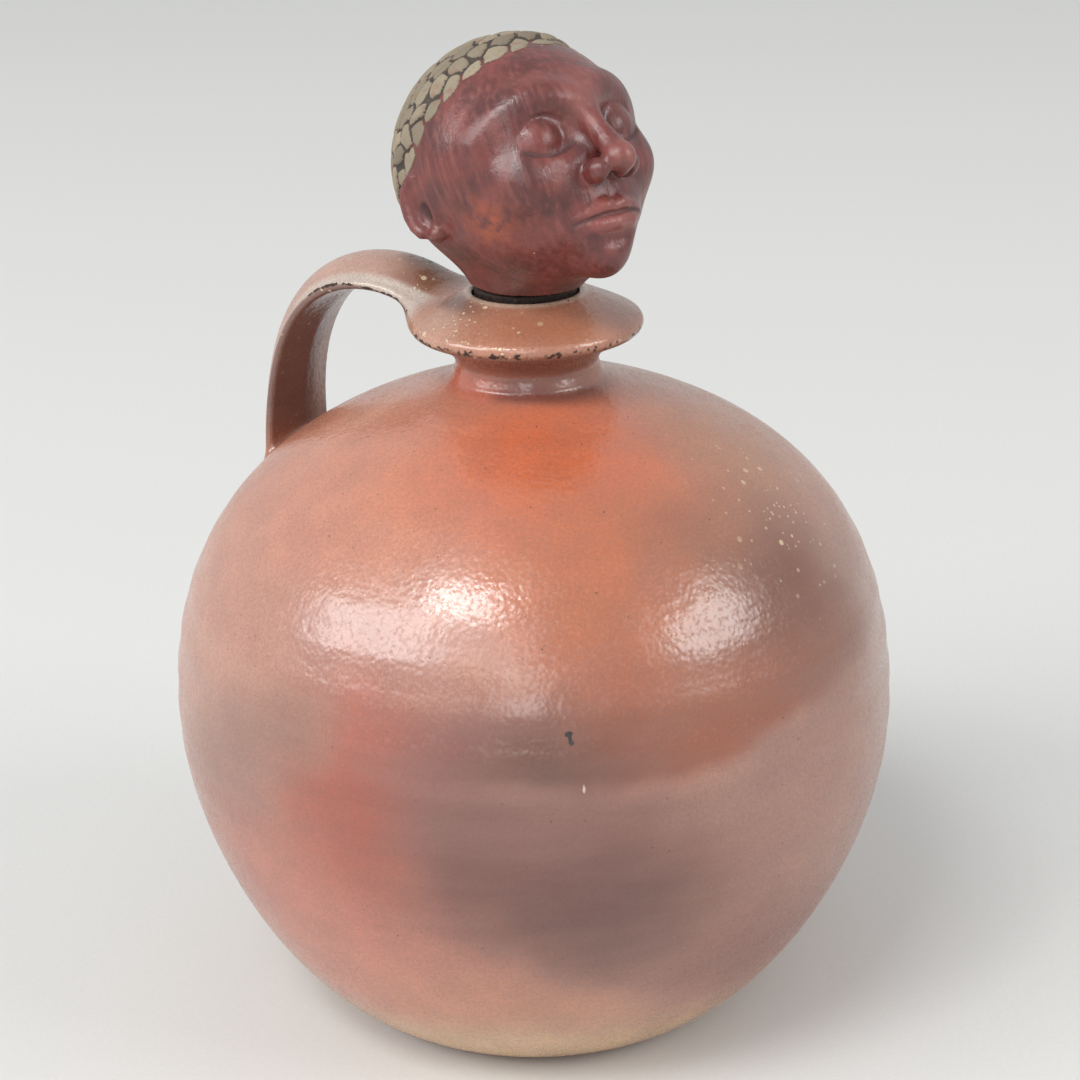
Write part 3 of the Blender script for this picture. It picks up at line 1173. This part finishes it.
def make_hair(finish):
    """A thin bed over the skull with rows of raised leaf-shaped scales, whose edges make the hairline."""
    ring, step = np.meshgrid(np.arange(1, HAIR_RINGS + 1), np.arange(HAIR_STEPS), indexing="ij")
    reach = np.append(0.0, HAIR_REACH * ring.ravel() / HAIR_RINGS)
    turn = np.append(0.0, math.tau * step.ravel() / HAIR_STEPS)
    ways = hair_directions(reach / SKULL_RADIUS, turn)[0]
    base = on_skull(ways)
    nearest, second, tint = scale_distances(base, np.random.default_rng(7))
    border = np.minimum(second, SCALE_END) - nearest
    dome = smooth(border, 0.04, 0.42) * (1.0 - 0.35 * np.minimum(nearest, 1.0) ** 2)
    inland = smooth(HAIR_REACH - reach, *HAIRLINE)
    lift = (HAIR_BED + HAIR_SINK) * inland - HAIR_SINK + SCALE_RISE * dome
    lift[reach > HAIR_REACH * (1.0 - 0.5 / HAIR_RINGS)] = -2.0 * HAIR_SINK
    points = np.vstack((base + ways * lift[:, None], [ways[0] * SKULL_RADIUS * 0.5]))
    index = 1 + np.arange(HAIR_RINGS * HAIR_STEPS).reshape(HAIR_RINGS, HAIR_STEPS)
    beside = np.roll(index, -1, axis=1)
    quads = np.stack((index[:-1], index[1:], beside[1:], beside[:-1]), axis=-1).reshape(-1, 4).tolist()
    crown = [(0, one, two) for one, two in zip(index[0].tolist(), beside[0].tolist())]
    inmost = len(points) - 1
    under = [(inmost, two, one) for one, two in zip(index[-1].tolist(), beside[-1].tolist())]
    marks = {
        "groove": np.append(smooth(border, 0.36, 0.12) * smooth(border, -0.30, -0.05), 1.0),
        "gap": np.append(smooth(border, 0.10, -0.05), 1.0),
        "tint": np.append(tint, 0.0),
    }
    faces = quads + crown + under
    add_piece("scale_hair", to_part(points), faces, finish, "stopper", "hair_slip", ["hair_cap"], **marks)


# Studio


def aim(thing, azimuth, elevation, distance, roll):
    """Places a camera or lamp at an azimuth from the camera's own, and turns it towards the jug."""
    turn = CAMERA_AZIMUTH + azimuth
    level = math.cos(elevation)
    away = Vector((math.sin(turn) * level, -math.cos(turn) * level, math.sin(elevation)))
    thing.location = CAMERA_TARGET + away * distance
    facing = (CAMERA_TARGET - thing.location).to_track_quat("-Z", "Y").to_matrix()
    thing.rotation_euler = (facing @ Matrix.Rotation(roll, 3, "Z")).to_euler()


def add_camera():
    data = bpy.data.cameras.new("camera")
    data.sensor_width = CAMERA_SENSOR
    data.lens = CAMERA_LENS
    data.shift_x = CAMERA_SHIFT
    data.clip_start = 0.01
    camera = add_object("camera", data)
    aim(camera, 0.0, CAMERA_ELEVATION, CAMERA_DISTANCE, CAMERA_ROLL)
    bpy.context.scene.camera = camera


def add_light(name, azimuth, elevation, roll, width, height, brightness):
    """A soft box that looks at the jug, in degrees and metres, with the brightness of its face."""
    data = bpy.data.lights.new(name, "AREA")
    data.shape = "RECTANGLE"
    data.size = width
    data.size_y = height
    data.energy = math.pi * width * height * brightness
    lamp = add_object(name, data)
    aim(lamp, math.radians(azimuth), math.radians(elevation), LIGHT_DISTANCE, math.radians(roll))


def add_floor():
    mesh = bpy.data.meshes.new("floor")
    half = 6.0
    corners = [(-half, -half, 0.0), (half, -half, 0.0), (half, half, 0.0), (-half, half, 0.0)]
    mesh.from_pydata(corners, [], [(0, 1, 2, 3)])
    floor = add_object("floor", mesh)
    finish = Finish("pale floor")
    fibre = finish.ramp(finish.noise(0.0015, 2.0), 0.3, 0.7)
    colour = finish.layered((0.674, 0.678, 0.662), (fibre, (0.692, 0.696, 0.680)))
    mesh.materials.append(finish.set(base_color=colour, roughness=0.85))


def add_world():
    world = bpy.data.worlds.new("studio")
    world.use_nodes = True
    back = world.node_tree.nodes["Background"]
    back.inputs["Color"].default_value = (0.98, 0.99, 1.0, 1.0)
    path = world.node_tree.nodes.new("ShaderNodeLightPath")
    strength = world.node_tree.nodes.new("ShaderNodeMapRange")
    strength.inputs["To Min"].default_value = WORLD_LIGHT
    strength.inputs["To Max"].default_value = WORLD_GLOSS
    world.node_tree.links.new(path.outputs["Is Glossy Ray"], strength.inputs["Value"])
    world.node_tree.links.new(strength.outputs[0], back.inputs["Strength"])
    bpy.context.scene.world = world


def main():
    add_camera()
    for light in LIGHTS:
        add_light(*light)
    add_floor()
    add_world()
    make_body(salt_glaze("salt glaze", body_scars()))
    make_rim(salt_glaze("rim glaze"))
    make_handle(salt_glaze("handle glaze"))
    make_cork(dark_cork())
    make_stem(bare_clay())
    make_head(skin_slip())
    make_hair(hair_slip())
    bpy.context.scene.view_settings.view_transform = "Standard"


main()
